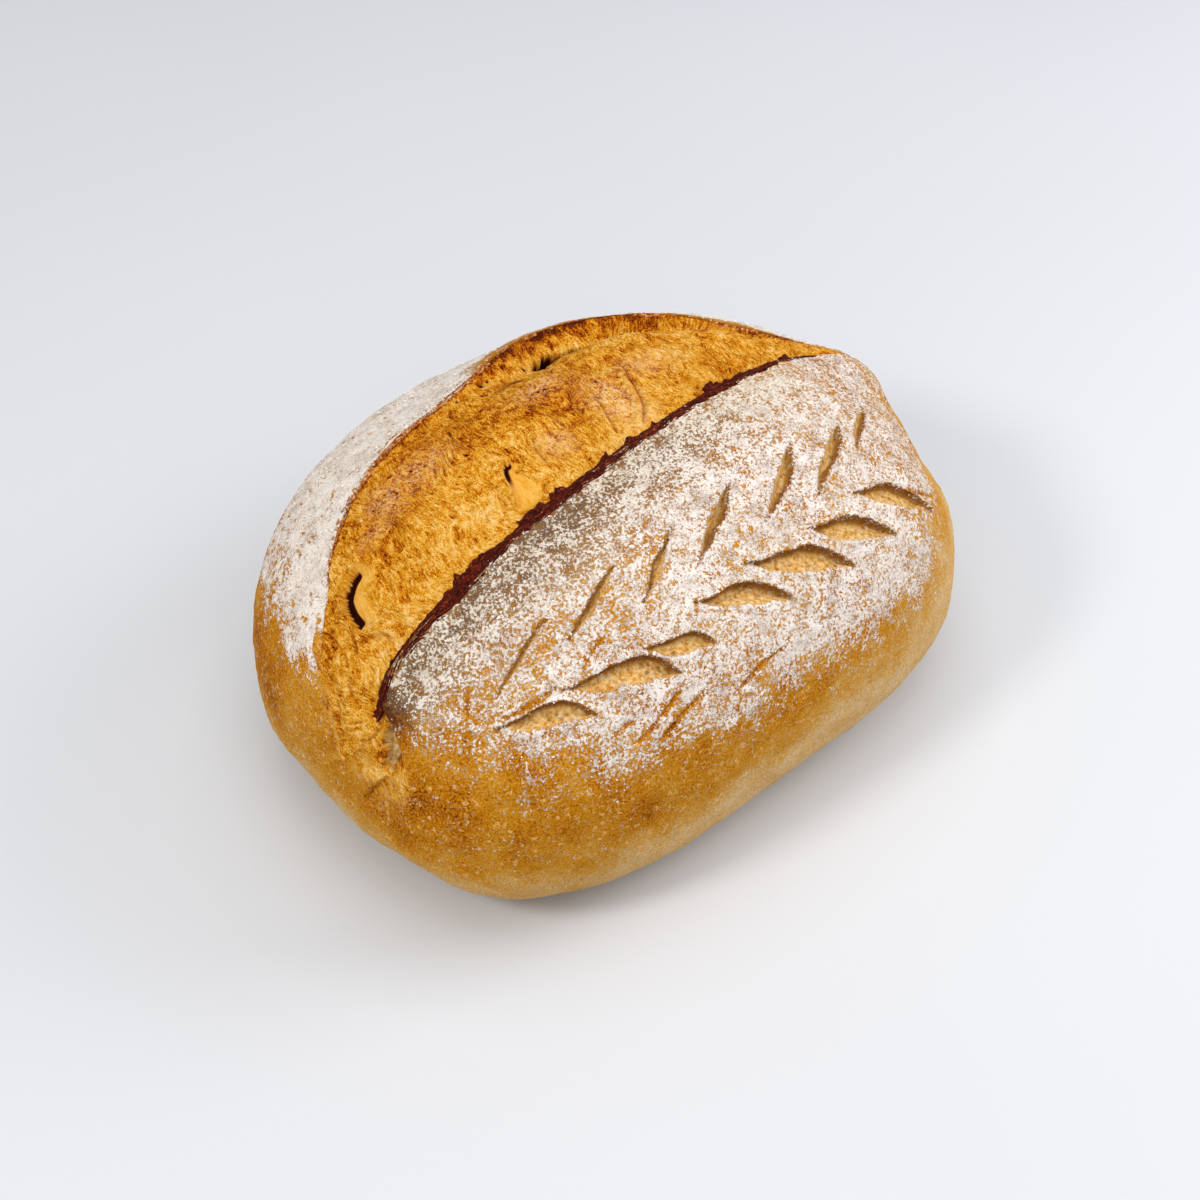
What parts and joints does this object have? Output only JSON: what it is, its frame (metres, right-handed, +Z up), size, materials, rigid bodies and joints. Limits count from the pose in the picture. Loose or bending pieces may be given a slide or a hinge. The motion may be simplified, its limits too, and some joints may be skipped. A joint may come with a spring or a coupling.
{
  "type": "sourdough loaf",
  "caption": "Oval crusty loaf, burst open along a lengthwise score, with a floured flap cut in a stalk-and-leaf pattern and a flat base.",
  "frame": {"origin": "middle of the loaf's box in plan, on the flat base it rests on", "axes": "+X along the loaf's length towards the end with the lifted corner, +Y towards the far flap, so the floured near flap with the leaf cuts faces -Y, +Z up"},
  "size_m": [0.249, 0.1902, 0.1207],
  "materials": {
    "crust": "golden-brown baked crust, matt, finely blistered, dusted with flour on the two flaps",
    "burst_dough": "golden torn dough, fibrous and matt, toasted along its crest",
    "singed_edge": "dark brown caramelised crust edge, rough with a slight gloss",
    "flour": "dry white flour, fully matt"
  },
  "bodies": {
    "root": {"loaf": "crust"}
  },
  "joints": []
}
